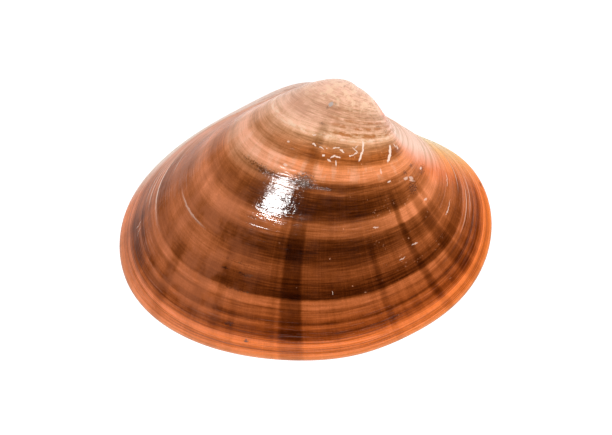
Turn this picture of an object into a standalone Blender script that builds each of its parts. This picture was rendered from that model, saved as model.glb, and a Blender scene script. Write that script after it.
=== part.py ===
"""One valve of a smooth clam, as a single closed solid resting on its rim.

A clam's shell is a coil. It grows at its margin, a flat closed outline, and every older
growth line is that outline made smaller and turned about the hinge. The outside is
therefore swept from the margin back to the beak, and the hollow inside is swept the same
way from a slightly smaller outline. A flat rim and the hinge plate join the two.

X runs along the shell with its front at +X, Y across it with the beak at +Y, and Z up.
"""
import bpy
import numpy as np

MM = 0.001

# The margin: its distance from MIDDLE, every 22.5 degrees from the front towards the beak
MARGIN_RADII = MM * np.array([39.2, 36.0, 28.6, 28.6, 30.0, 28.3, 29.0, 33.1,
                              38.6, 40.0, 35.8, 31.5, 29.8, 30.5, 32.9, 37.1])
MIDDLE = MM * np.array([-9.0, -28.0, 0.0])

# The coil: all growth lines shrink towards BEAK, at a rate that rises with their age
BEAK = MM * np.array([0.0, 0.0, 1.5])
SHRINK, SHRINK_GAIN = 0.865, 0.855
DRIFT = MM * np.array([-4.4, -2.2, 0.0])
OLDEST = 2.1

# The young shell, called the cap: fuller in front, and dented where its wall ends there.
# Each has its height, its size and reach in size, and its angle and reach in degrees.
CAP_FULL = (0.50 * MM, 0.13, 0.085, 350, 70)
CAP_DENT = (-0.66 * MM, 0.355, 0.100, 16, 42)

# The hinge axis that they turn about, in degrees, and its swing for each radian of age
AXIS_HEADING, AXIS_SWING, AXIS_TILT = np.radians([8.6, 8.9, -3.4])

# The hollow: swept from a smaller outline towards a point below the beak
HOLLOW_TOP = MM * np.array([-3.0, -7.2, 3.2])
HOLLOW_SHRINK, HOLLOW_SHRINK_GAIN = 0.94, 0.80
HOLLOW_DRIFT = 0.8 * DRIFT
HOLLOW_OLDEST = 1.9

# The flat rim, and the wider hinge plate under the beak, in degrees round the margin
RIM_WIDTH = 1.6 * MM
PLATE_WIDTH = 6.6 * MM
PLATE_FRONT, PLATE_FULL_FRONT, PLATE_FULL_BACK, PLATE_BACK = np.radians([36, 62, 86, 136])
PLATE_RECESS = 1.7 * MM
TOOTH_SHARE = 0.85

# The three hinge teeth: start, end and half width, measured in the plane of the rim
TEETH = MM * np.array([[1.2, -2.6, 3.6, -6.2, 0.75],
                       [-0.4, -2.6, -0.6, -7.4, 0.85],
                       [-2.2, -2.6, -8.4, -6.6, 1.00]])

# How finely the solid is faceted
COLUMNS = 100
OUTER_ROWS, PLATE_ROWS, HOLLOW_ROWS = 21, 8, 12


def smooth(x, start, end):
    """0 up to start, 1 from end on, and an S-shaped rise between them."""
    t = np.clip((x - start) / (end - start), 0, 1)
    return t * t * (3 - 2 * t)


def margin_radius(angle):
    """A smooth closed curve through MARGIN_RADII: the periodic cubic spline."""
    count = len(MARGIN_RADII)
    step = 2 * np.pi / count
    here = np.arange(count)
    system = np.zeros((count, count))
    system[here, here] = 4
    system[here, (here + 1) % count] = 1
    system[here, (here - 1) % count] = 1
    rise = 3 * (np.roll(MARGIN_RADII, -1) - np.roll(MARGIN_RADII, 1))
    slope = np.linalg.solve(system, rise)
    place = (angle / step) % count
    near = np.floor(place).astype(int) % count
    far = (near + 1) % count
    t = place - np.floor(place)
    return ((2 * t**3 - 3 * t**2 + 1) * MARGIN_RADII[near] + (t**3 - 2 * t**2 + t) * slope[near]
            + (3 * t**2 - 2 * t**3) * MARGIN_RADII[far] + (t**3 - t**2) * slope[far])


def plate_share(angle):
    """1 along the hinge plate, 0 along the plain rim."""
    return (smooth(angle, PLATE_FRONT, PLATE_FULL_FRONT)
            * (1 - smooth(angle, PLATE_FULL_BACK, PLATE_BACK)))


def tooth_share(x, y):
    """1 on the crest of a tooth, 0 beyond its half width."""
    share = np.zeros_like(x)
    for x0, y0, x1, y1, half in TEETH:
        run = np.array([x1 - x0, y1 - y0])
        t = np.clip(((x - x0) * run[0] + (y - y0) * run[1]) / (run @ run), 0, 1)
        away = np.hypot(x - x0 - t * run[0], y - y0 - t * run[1])
        share = np.maximum(share, 1 - smooth(away, 0.3 * half, half))
    return share


def plate(angle, across):
    """The rim and hinge plate: across is 0 at the margin and 1 at the edge of the hollow.

    The plate lies PLATE_RECESS above the rim's plane. Its teeth come back down towards
    that plane and stop short of it, so the shell rests on its rim alone.
    """
    inset = (RIM_WIDTH + PLATE_WIDTH * plate_share(angle)) * across
    x = MIDDLE[0] + (margin_radius(angle) - inset) * np.cos(angle)
    y = MIDDLE[1] + (margin_radius(angle) - inset) * np.sin(angle)
    recess = PLATE_RECESS * plate_share(angle) * smooth(across, 0.12, 0.34)
    teeth = tooth_share(x, y) * (1 - smooth(across, 0.8, 1.0))
    return np.stack([x, y, recess * (1 - TOOTH_SHARE * teeth)], axis=-1)


def size_at(age, shrink, shrink_gain):
    """The size of a growth line of some age, from 1 at the margin."""
    return np.exp(-(shrink * age + shrink_gain * age**2 / 2))


def coil(edge, centre, shrink, shrink_gain, drift, age):
    """One copy of the edge for each age, smaller and further turned as the age rises.

    place = centre + size * (edge + drift * age - centre, turned by age about the hinge)
    """
    age = age[:, None, None]
    heading = AXIS_HEADING + AXIS_SWING * age
    axis = np.concatenate([-np.cos(heading) * np.cos(AXIS_TILT),
                           np.sin(heading) * np.cos(AXIS_TILT),
                           np.full_like(age, np.sin(AXIS_TILT))], axis=-1)
    arm = edge + drift * age - centre
    along = (arm * axis).sum(axis=-1, keepdims=True) * axis
    turned = arm * np.cos(age) + np.cross(axis, arm) * np.sin(age) + along * (1 - np.cos(age))
    return centre + size_at(age, shrink, shrink_gain) * turned


def cap_form(size, angle):
    """How far the outside stands proud of the plain coil at a size and an angle."""
    height = 0
    for most, centre, reach, heading, turn in (CAP_FULL, CAP_DENT):
        away = np.abs((np.degrees(angle) - heading + 180) % 360 - 180)
        height = height + (most * np.exp(-((size - centre) / reach) ** 2)
                           * (1 - smooth(away, 0.33 * turn, turn)))
    return height


def raised(rows, height):
    """The rows, each point moved along the surface's normal there by its height."""
    normal = np.cross(np.gradient(rows, axis=0), np.roll(rows, -1, axis=1) - np.roll(rows, 1, axis=1))
    normal = normal / np.linalg.norm(normal, axis=-1, keepdims=True)
    return rows + normal * height[..., None]


def even_ages(line, oldest, rows):
    """Ages whose rows are evenly spaced along a line of growth, and closer at the beak."""
    age = np.linspace(0, oldest, 600)
    track = line(age)
    run = np.append(0, np.cumsum(np.linalg.norm(np.diff(track, axis=0), axis=-1)))
    spread = run / run[-1] + 0.35 * age / oldest
    return np.interp(np.linspace(0, spread[-1], rows), spread, age)


def column_angles(count):
    """Angles round the margin, twice as close at the hinge plate as opposite it."""
    turn = np.arange(count) * 2 * np.pi / count
    hinge = (PLATE_FULL_FRONT + PLATE_FULL_BACK) / 2
    return (turn - 0.5 * np.sin(turn - hinge)) % (2 * np.pi)


def valve_rows():
    """The whole skin as rows of points: tip of the beak, margin, plate, top of the hollow."""
    angle = column_angles(COLUMNS)
    across = np.linspace(0, 1, PLATE_ROWS)[:, None]
    plate_rows = plate(angle[None, :], across)
    margin, edge = plate_rows[0], plate_rows[-1]
    below = np.argmin(margin[:, 1])

    def outside(age):
        return coil(margin, BEAK, SHRINK, SHRINK_GAIN, DRIFT, age)

    def hollow(age):
        return coil(edge, HOLLOW_TOP, HOLLOW_SHRINK, HOLLOW_SHRINK_GAIN, HOLLOW_DRIFT, age)

    outer_ages = even_ages(lambda age: outside(age)[:, below], OLDEST, OUTER_ROWS)
    hollow_ages = even_ages(lambda age: hollow(age)[:, below], HOLLOW_OLDEST, HOLLOW_ROWS)
    sizes = size_at(outer_ages[::-1], SHRINK, SHRINK_GAIN)
    outer_rows = raised(outside(outer_ages)[::-1], cap_form(sizes[:, None], angle[None, :]))
    return np.concatenate([outer_rows, plate_rows[1:], hollow(hollow_ages)[1:]])


def closed_mesh(name, rows):
    """A mesh from rows of points that close round, with each end closed by a fan."""
    count, columns = rows.shape[:2]
    points = np.concatenate([rows.reshape(-1, 3), rows[:1].mean(axis=1), rows[-1:].mean(axis=1)])
    first_tip, last_tip = count * columns, count * columns + 1
    here = np.arange(columns)
    beside = (here + 1) % columns
    start = np.arange(count - 1)[:, None] * columns
    quads = np.stack([start + here, start + columns + here,
                      start + columns + beside, start + beside], axis=-1).reshape(-1, 4)
    last = (count - 1) * columns
    faces = quads.tolist()
    faces += np.stack([np.full(columns, first_tip), here, beside], axis=-1).tolist()
    faces += np.stack([np.full(columns, last_tip), last + beside, last + here], axis=-1).tolist()
    low, high = points.min(axis=0), points.max(axis=0)
    points = points - [(low[0] + high[0]) / 2, (low[1] + high[1]) / 2, low[2]]
    mesh = bpy.data.meshes.new(name)
    mesh.from_pydata(points.tolist(), [], faces)
    mesh.validate()
    mesh.update()
    return mesh


def shell_material():
    """Polished tan shell."""
    material = bpy.data.materials.new("polished_shell")
    material.use_nodes = True
    surface = material.node_tree.nodes["Principled BSDF"]
    surface.inputs["Base Color"].default_value = (0.45, 0.20, 0.08, 1)
    surface.inputs["Roughness"].default_value = 0.25
    return material


def main():
    for item in list(bpy.data.objects):
        bpy.data.objects.remove(item)
    collection = bpy.data.collections.new("smooth_clam_shell")
    bpy.context.scene.collection.children.link(collection)
    valve = bpy.data.objects.new("valve", closed_mesh("valve", valve_rows()))
    valve.data.materials.append(shell_material())
    collection.objects.link(valve)


main()
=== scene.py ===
# %% [markdown]
# A polished clam shell on a light table
#
# The object is one valve of a smooth clam, lying with its hollow side down. On the real
# animal the shell grows at its margin only, so everything on it, its shape as well as its
# colours, follows two directions: along a growth line, and across the growth lines from the
# margin back to the beak. This lesson builds the surface from those two directions, and
# then paints it with the same two.

# %% Load the frame
import bpy
import numpy as np
from mathutils import Matrix, Vector


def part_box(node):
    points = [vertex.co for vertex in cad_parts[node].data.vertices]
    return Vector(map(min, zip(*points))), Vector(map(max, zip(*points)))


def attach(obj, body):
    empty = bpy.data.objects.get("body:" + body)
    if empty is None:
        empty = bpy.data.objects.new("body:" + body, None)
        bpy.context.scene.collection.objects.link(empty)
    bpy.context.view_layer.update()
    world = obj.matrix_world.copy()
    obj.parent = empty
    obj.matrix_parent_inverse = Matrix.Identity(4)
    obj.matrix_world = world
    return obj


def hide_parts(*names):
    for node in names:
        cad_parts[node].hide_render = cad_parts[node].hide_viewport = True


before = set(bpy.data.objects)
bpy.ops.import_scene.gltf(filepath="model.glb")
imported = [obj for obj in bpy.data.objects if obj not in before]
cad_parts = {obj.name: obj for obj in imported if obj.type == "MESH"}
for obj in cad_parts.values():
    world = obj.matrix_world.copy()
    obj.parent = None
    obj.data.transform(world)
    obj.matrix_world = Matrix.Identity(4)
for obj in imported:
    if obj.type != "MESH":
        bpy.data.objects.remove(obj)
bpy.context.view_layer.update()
low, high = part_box("valve")
MM = 0.001
print("CAD valve, mm:", [round((b - a) / MM, 1) for a, b in zip(low, high)])

# %% [markdown]
# The margin
#
# The valve's opening is a flat egg shape, blunt at the back and drawn in on both sides of
# the beak. It could be a stretched circle, but a clam's outline has no symmetry to lean on.
# So it is given as its distance from one inner point, every 22.5 degrees, and a periodic
# cubic spline runs smoothly through those distances.

# %% The margin's outline
MARGIN_RADII = MM * np.array([39.2, 36.0, 28.6, 28.6, 30.0, 28.3, 29.0, 33.1,
                              38.6, 40.0, 35.8, 31.5, 29.8, 30.5, 32.9, 37.1])
MIDDLE = MM * np.array([-9.0, -28.0, 0.0])


def margin_radius(angle):
    """Cubic pieces between neighbouring radii, with slopes that match where they meet.

    The slopes solve: 4 * slope + both neighbours' slopes = 3 * (next radius - last radius).
    """
    count = len(MARGIN_RADII)
    here = np.arange(count)
    system = np.zeros((count, count))
    system[here, here] = 4
    system[here, (here + 1) % count] = 1
    system[here, (here - 1) % count] = 1
    rise = 3 * (np.roll(MARGIN_RADII, -1) - np.roll(MARGIN_RADII, 1))
    slope = np.linalg.solve(system, rise)
    place = (angle / (2 * np.pi) * count) % count
    near = np.floor(place).astype(int) % count
    far = (near + 1) % count
    t = place - np.floor(place)
    return ((2 * t**3 - 3 * t**2 + 1) * MARGIN_RADII[near] + (t**3 - 2 * t**2 + t) * slope[near]
            + (3 * t**2 - 2 * t**3) * MARGIN_RADII[far] + (t**3 - t**2) * slope[far])


def smooth(x, start, end):
    """0 up to start, 1 from end on, and 3t^2 - 2t^3 between them."""
    t = np.clip((x - start) / (end - start), 0, 1)
    return t * t * (3 - 2 * t)


print("margin radius at the front, mm:", round(float(margin_radius(np.array(0.0))) / MM, 1))

# %% [markdown]
# The coil
#
# A growth line keeps its shape while the shell grows. Seen backwards, each older line is the
# margin made smaller and turned a little about the hinge, and the turning is what rolls the
# beak over. Sweeping an outline along a hand-drawn path would need many control curves. The
# coil needs one outline and a few rates, and its rows are growth lines, which the colours
# will use later.

# %% Rates of the coil
BEAK = MM * np.array([0.0, 0.0, 1.5])
SHRINK, SHRINK_GAIN = 0.865, 0.855
DRIFT = MM * np.array([-4.4, -2.2, 0.0])
OLDEST = 2.1
AXIS_HEADING, AXIS_SWING, AXIS_TILT = np.radians([8.6, 8.9, -3.4])


def size_at(age, shrink=SHRINK, shrink_gain=SHRINK_GAIN):
    """exp(-(shrink * age + shrink_gain * age^2 / 2)): 1 at the margin, near 0 at the tip."""
    return np.exp(-(shrink * age + shrink_gain * age**2 / 2))


def coil(edge, centre, age, shrink=SHRINK, shrink_gain=SHRINK_GAIN, drift=DRIFT):
    """centre + size * (edge + drift * age - centre, turned by age about the hinge axis).

    The turning is Rodrigues' formula: v cos a + (axis x v) sin a + axis (axis . v)(1 - cos a).
    """
    age = age[:, None, None]
    heading = AXIS_HEADING + AXIS_SWING * age
    axis = np.concatenate([-np.cos(heading) * np.cos(AXIS_TILT),
                           np.sin(heading) * np.cos(AXIS_TILT),
                           np.full_like(age, np.sin(AXIS_TILT))], axis=-1)
    arm = edge + drift * age - centre
    along = (arm * axis).sum(axis=-1, keepdims=True) * axis
    turned = arm * np.cos(age) + np.cross(axis, arm) * np.sin(age) + along * (1 - np.cos(age))
    return centre + size_at(age, shrink, shrink_gain) * turned


print("size of the oldest line:", round(float(size_at(OLDEST)), 3))

# %% [markdown]
# Rim, hinge plate and teeth
#
# The shell touches the table on a narrow flat rim. Below the beak the rim widens into the
# hinge plate, where three teeth locked into the other valve. The plate is a strip between
# two outlines, so it is a function of the angle and of how far across the strip a point is,
# and the teeth are simply heights on it.

# %% Sizes of rim, plate and teeth
RIM_WIDTH, PLATE_WIDTH, PLATE_RECESS = 1.6 * MM, 6.6 * MM, 1.7 * MM
RECESS_RISE, TEETH_END = (0.12, 0.34), (0.8, 1.0)
TOOTH_SHARE, CREST = 0.85, 0.3
PLATE_FRONT, PLATE_FULL_FRONT, PLATE_FULL_BACK, PLATE_BACK = np.radians([36, 62, 86, 136])
TEETH = MM * np.array([[1.2, -2.6, 3.6, -6.2, 0.75],
                       [-0.4, -2.6, -0.6, -7.4, 0.85],
                       [-2.2, -2.6, -8.4, -6.6, 1.00]])


def plate_share(angle):
    """1 along the hinge plate, 0 along the plain rim."""
    return (smooth(angle, PLATE_FRONT, PLATE_FULL_FRONT)
            * (1 - smooth(angle, PLATE_FULL_BACK, PLATE_BACK)))


def tooth_share(x, y):
    """1 on a tooth's crest, falling to 0 at its half width, by distance from its segment."""
    share = np.zeros_like(x)
    for x0, y0, x1, y1, half in TEETH:
        run = np.array([x1 - x0, y1 - y0])
        t = np.clip(((x - x0) * run[0] + (y - y0) * run[1]) / (run @ run), 0, 1)
        away = np.hypot(x - x0 - t * run[0], y - y0 - t * run[1])
        share = np.maximum(share, 1 - smooth(away, CREST * half, half))
    return share


def plate(angle, across):
    """Point at (margin radius - width * across), raised by the recess less the teeth."""
    inset = (RIM_WIDTH + PLATE_WIDTH * plate_share(angle)) * across
    x = MIDDLE[0] + (margin_radius(angle) - inset) * np.cos(angle)
    y = MIDDLE[1] + (margin_radius(angle) - inset) * np.sin(angle)
    recess = PLATE_RECESS * plate_share(angle) * smooth(across, *RECESS_RISE)
    teeth = tooth_share(x, y) * (1 - smooth(across, *TEETH_END))
    return np.stack([x, y, recess * (1 - TOOTH_SHARE * teeth)], axis=-1)


print("hinge plate, mm wide:", round((RIM_WIDTH + PLATE_WIDTH) / MM, 1), "teeth:", len(TEETH))

# %% [markdown]
# Columns and rows
#
# The whole skin will be one grid: its columns lie round the margin, its rows lead from the
# beak to the top of the hollow. Even angles would be coarse at the hinge, so the columns are
# crowded there. Even ages would be coarse at the beak or at the margin, so the rows are
# spaced along a line of growth, with some of them kept back for the beak.

# %% Columns and rows of the grid
COLUMNS, OUTER_ROWS, PLATE_ROWS, HOLLOW_ROWS = 340, 170, 34, 66
HINGE = (PLATE_FULL_FRONT + PLATE_FULL_BACK) / 2
CROWDING, BEAK_SHARE, SAMPLES = 0.5, 0.35, 2000


def column_angles(count):
    """hinge + t - crowding * sin t: columns lie closest at the hinge."""
    t = np.arange(count) * 2 * np.pi / count
    return (HINGE + t - CROWDING * np.sin(t)) % (2 * np.pi)


def even_ages(line, oldest, rows):
    """Ages evenly spaced along a line of growth, with some spacing by age for the beak."""
    age = np.linspace(0, oldest, SAMPLES)
    run = np.append(0, np.cumsum(np.linalg.norm(np.diff(line(age), axis=0), axis=-1)))
    spread = run / run[-1] + BEAK_SHARE * age / oldest
    return np.interp(np.linspace(0, spread[-1], rows), spread, age)


angle = column_angles(COLUMNS)
plate_rows = plate(angle[None, :], np.linspace(0, 1, PLATE_ROWS)[:, None])
margin, inner_edge = plate_rows[0], plate_rows[-1]
ventral = int(np.argmin(margin[:, 1]))
print("grid columns:", COLUMNS, "narrowest step, mm:",
      round(float(np.linalg.norm(margin[1] - margin[0])) / MM, 2))

# %% [markdown]
# The outside, with its growth rests
#
# A clam stops growing in hard seasons. Each stop leaves a shallow step that runs right round
# the shell, and it catches the light as a thin line. The steps are real relief on the real
# shell, so here they are moves of the surface along its normal and not only a bump in the
# finish. They are placed by size, the same number that will place the colour bands.

# %% Growth rests: size and depth in mm
RESTS = ((0.947, 0.030), (0.886, 0.045), (0.843, 0.025), (0.815, 0.110), (0.702, 0.055),
         (0.626, 0.070), (0.600, 0.050), (0.502, 0.040), (0.434, 0.040), (0.350, 0.060))
LIP_EDGE, LIP_REACH = 0.0045, 0.030
SLOW_WAVE, QUICK_WAVE = 0.0016, 0.0010
SWELL, SWELLS, SUNK = 0.05 * MM, 23, 0.08 * MM
NO_RESTS = (74, 25, 35)


def grid_normals(rows):
    """Unit cross product of the step to the next row and the step to the next column."""
    down = np.gradient(rows, axis=0)
    round_ = np.roll(rows, -1, axis=1) - np.roll(rows, 1, axis=1)
    normal = np.cross(down, round_)
    return normal / np.maximum(np.linalg.norm(normal, axis=-1, keepdims=True), 1e-15)


def around(angle, centre, half, edge):
    """1 within half of a centre angle, 0 beyond half + edge, in degrees round the circle."""
    away = np.abs((np.degrees(angle) - centre + 180) % 360 - 180)
    return 1 - smooth(away, half, half + edge)


def rest_relief(size, angle):
    """Sum of lips: each rises slowly, depth * exp(-distance / reach), and drops at its rest.

    A slow swell is added, and the crown is sunk a little so that no lip stands above the
    solid. All of it fades out at the beak, at the margin and round the hinge.
    """
    wave = SLOW_WAVE * np.sin(3 * angle + 1) + QUICK_WAVE * np.sin(7 * angle)
    relief = np.zeros(np.broadcast(size, angle).shape)
    for number, (place, depth) in enumerate(RESTS):
        older = place - size - wave
        strength = 0.75 + 0.25 * np.sin((2 + number % 3) * angle + 2 * number)
        lip = np.exp(-np.maximum(older, 0) / LIP_REACH) * smooth(older, -LIP_EDGE, LIP_EDGE)
        relief = relief + depth * MM * strength * lip
    swell = SWELL * np.sin(np.log(size) * SWELLS) * smooth(size, 0.2, 0.5)
    sunk = SUNK * smooth(size, 0.15, 0.35) * (1 - smooth(size, 0.55, 0.90))
    fade = smooth(size, 0.05, 0.2) * (1 - smooth(size, 0.965, 0.995))
    return (relief + swell - sunk) * fade * (1 - around(angle, *NO_RESTS))


print("growth rests:", len(RESTS))

# %% [markdown]
# The cap, and the finished outside
#
# The oldest part of the shell stands a little proud as a cap, fuller towards the front, with
# a dent where its wall ends. One bump up and one down, each at its own size and angle, are
# added to the relief. The sum moves every point of the coil along the surface's normal.

# %% The outside surface
CAP_FULL = (0.50 * MM, 0.13, 0.085, (350, 23, 47))
CAP_DENT = (-0.66 * MM, 0.355, 0.100, (16, 14, 28))


def cap_form(size, angle):
    """Sum of height * exp(-((size - place) / reach)^2), each kept around its own angle."""
    return sum(height * np.exp(-((size - place) / reach) ** 2) * around(angle, *turn)
               for height, place, reach, turn in (CAP_FULL, CAP_DENT))


outer_age = even_ages(lambda age: coil(margin, BEAK, age)[:, ventral], OLDEST, OUTER_ROWS)
outer_size = size_at(outer_age)
outside = coil(margin, BEAK, outer_age)[::-1]
outer_size = outer_size[::-1]
relief = (rest_relief(outer_size[:, None], angle[None, :])
          + cap_form(outer_size[:, None], angle[None, :]))
outside = outside + grid_normals(outside) * relief[..., None]
print("outside rows:", len(outside), "top, mm:", round(float(outside[..., 2].max()) / MM, 2))

# %% [markdown]
# The hollow, with its scars
#
# The inside was never polished: it is porcelain, marked where the animal was fixed. Two
# muscle scars lie left and right, and the pallial line joins them, with a deep bay at the
# back where the siphons were drawn in. The hollow is a second coil. Its marks are worked out
# here as one number for each point, which moves the surface a little and later tints it.

# %% The hollow and its marks
HOLLOW_TOP = MM * np.array([-3.0, -7.2, 3.2])
HOLLOW_SHRINK, HOLLOW_SHRINK_GAIN, HOLLOW_OLDEST = 0.94, 0.80, 1.9
HOLLOW_DRIFT, MARK_DEPTH, HOLLOW_EDGE = 0.8 * DRIFT, 0.12 * MM, 0.985
# Scars: x, y, half length, half width in mm, and lean in degrees
SCARS = ((18.0, -22.5, 5.2, 3.6, 62), (-35.5, -21.5, 6.2, 4.6, 118))
SCAR_EDGE, LINE_SIZE, LINE_HALF, LINE_STRENGTH = (0.86, 1.06), 0.78, 0.014, 0.8
LINE_START, LINE_END = (166, 176), (346, 356)
BAY_TURN, BAY_REACH, BAY_DEPTH, BAY_BLUR = 196, 17, 0.34, 0.02


def hollow_coil(age):
    """The coil again, from the plate's inner edge towards the top of the hollow."""
    return coil(inner_edge, HOLLOW_TOP, age, HOLLOW_SHRINK, HOLLOW_SHRINK_GAIN, HOLLOW_DRIFT)


def muscle_marks(points, size, angle):
    """1 inside a scar's ellipse, and 1 on the pallial line, both with soft edges."""
    mark = np.zeros(points.shape[:2])
    for x, y, long, short, lean in SCARS:
        c, s = np.cos(np.radians(lean)), np.sin(np.radians(lean))
        dx, dy = points[..., 0] / MM - x, points[..., 1] / MM - y
        reach = np.hypot((dx * c + dy * s) / long, (dy * c - dx * s) / short)
        mark = np.maximum(mark, 1 - smooth(reach, *SCAR_EDGE))
    degrees = np.degrees(angle)
    bay = np.exp(-((degrees - BAY_TURN) / BAY_REACH) ** 4)
    line = LINE_SIZE - BAY_DEPTH * bay
    there = smooth(degrees, *LINE_START) * (1 - smooth(degrees, *LINE_END))
    track = np.exp(-((size - line) / (LINE_HALF + BAY_BLUR * bay)) ** 2) * there
    return np.maximum(mark, LINE_STRENGTH * track)


hollow_age = even_ages(lambda age: hollow_coil(age)[:, ventral], HOLLOW_OLDEST, HOLLOW_ROWS)
hollow_size = size_at(hollow_age, HOLLOW_SHRINK, HOLLOW_SHRINK_GAIN)
hollow = hollow_coil(hollow_age)
mark = muscle_marks(hollow, hollow_size[:, None], angle[None, :])
sunk_mark = MARK_DEPTH * mark * (hollow_size < HOLLOW_EDGE)[:, None]
hollow = hollow - grid_normals(hollow) * sunk_mark[..., None]
print("hollow rows:", len(hollow), "share marked:", round(float((mark > 0.5).mean()), 3))

# %% [markdown]
# One closed skin
#
# Outside, rim, plate and hollow share their columns, so their rows are stacked into one grid
# that closes round. Each end of the stack shrinks almost to a point and is closed by a fan.
# The piece keeps two attributes: growth, which holds the cosine and sine of the ray's angle
# and the size of the growth line, and mark, from the hollow. Sine and cosine are kept, and
# not the angle, because they have no seam where a full turn ends. Across the rim the size
# runs on from 1 to RIM_END, so that its finish can tell the margin from the inner edge.

# %% Stack the rows and keep what the finish needs
RAY_DRIFT, VENTRAL_TURN, RIM_END = np.radians(20), np.radians(252), 1.1

rows = np.concatenate([outside, plate_rows[1:], hollow[1:]])
row_size = np.concatenate([outer_size, np.linspace(1, RIM_END, PLATE_ROWS)[1:], hollow_size[1:]])
row_mark = np.concatenate([np.zeros((len(outside) + PLATE_ROWS - 1, COLUMNS)), mark[1:]])
ray = angle[None, :] + RAY_DRIFT * (1 - np.minimum(row_size, 1)[:, None]) - VENTRAL_TURN
growth = np.stack([np.cos(ray), np.sin(ray), np.broadcast_to(row_size[:, None], ray.shape)], -1)

FINISH_OUTSIDE, FINISH_RIM, FINISH_HOLLOW = 0, 1, 2
band = np.concatenate([np.full(len(outside) - 1, FINISH_OUTSIDE),
                       np.full(PLATE_ROWS - 1, FINISH_RIM),
                       np.full(HOLLOW_ROWS - 1, FINISH_HOLLOW)])
print("rows in all:", len(rows))

# %% [markdown]
# From a grid to a mesh
#
# Each four neighbouring points make one face, and the last column joins the first again.
# The faces could be listed in a Python loop, but whole arrays of point numbers give all of
# them at once. Each face also gets the number of its finish, and each point its attributes.

# %% Build the mesh


def closed_skin(name, rows, band, point_values):
    """Quads between neighbouring rows and columns, and a fan of triangles at each end."""
    count, columns = rows.shape[:2]
    here = np.arange(columns)
    beside = (here + 1) % columns
    start = np.arange(count - 1)[:, None] * columns
    quads = np.stack([start + here, start + columns + here,
                      start + columns + beside, start + beside], axis=-1).reshape(-1, 4)
    last = (count - 1) * columns
    first_tip, last_tip = count * columns, count * columns + 1
    first_fan = np.stack([np.full(columns, first_tip), here, beside], axis=-1)
    last_fan = np.stack([np.full(columns, last_tip), last + beside, last + here], axis=-1)

    def with_tips(values):
        flat = values.reshape(count * columns, -1)
        return np.concatenate([flat, flat[:columns].mean(0)[None], flat[-columns:].mean(0)[None]])

    mesh = bpy.data.meshes.new(name)
    mesh.from_pydata(with_tips(rows).tolist(), [],
                     quads.tolist() + first_fan.tolist() + last_fan.tolist())
    finish = np.concatenate([np.repeat(band, columns), np.full(columns, band[0]),
                             np.full(columns, band[-1])])
    mesh.polygons.foreach_set("material_index", finish.astype(np.int32))
    mesh.polygons.foreach_set("use_smooth", np.ones(len(finish), dtype=bool))
    for title, (kind, field, values) in point_values.items():
        layer = mesh.attributes.new(title, kind, "POINT")
        layer.data.foreach_set(field, with_tips(values).astype(np.float32).ravel())
    mesh.update()
    return mesh


print("faces to build:", (len(rows) - 1) * COLUMNS + 2 * COLUMNS)

# %% [markdown]
# Into the shared frame
#
# The CAD solid stands with the middle of its box at the origin and its rim on the ground.
# The object itself must stay at the origin, so the points are moved, not the object. The
# skin then takes the solid's place on its body.

# %% Place the valve
outer_points = outside.reshape(-1, 3)
middle = (outer_points.min(0) + outer_points.max(0)) / 2
to_frame = np.array([*(np.array(low) + np.array(high))[:2] / 2 - middle[:2], low[2]])
skin = closed_skin("clam_valve", rows + to_frame, band,
                   {"growth": ("FLOAT_VECTOR", "vector", growth),
                    "mark": ("FLOAT", "value", row_mark)})
valve = bpy.data.objects.new("clam_valve", skin)
bpy.context.scene.collection.objects.link(valve)
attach(valve, "root")
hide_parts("valve")
print("valve faces:", len(skin.polygons), "moved to the frame by, mm:",
      [round(v / MM, 2) for v in to_frame])

# %% [markdown]
# Shader sums as Python
#
# A material is a web of nodes, and long sums are hard to read as nodes. This small class
# wraps one socket, so that an ordinary expression such as 1 - mask adds its Math nodes.
# Everything that isn't plain arithmetic comes from its one node method, and the methods
# below it are short names for the nodes that this shell needs again and again.

# %% A wire through a material


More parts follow.
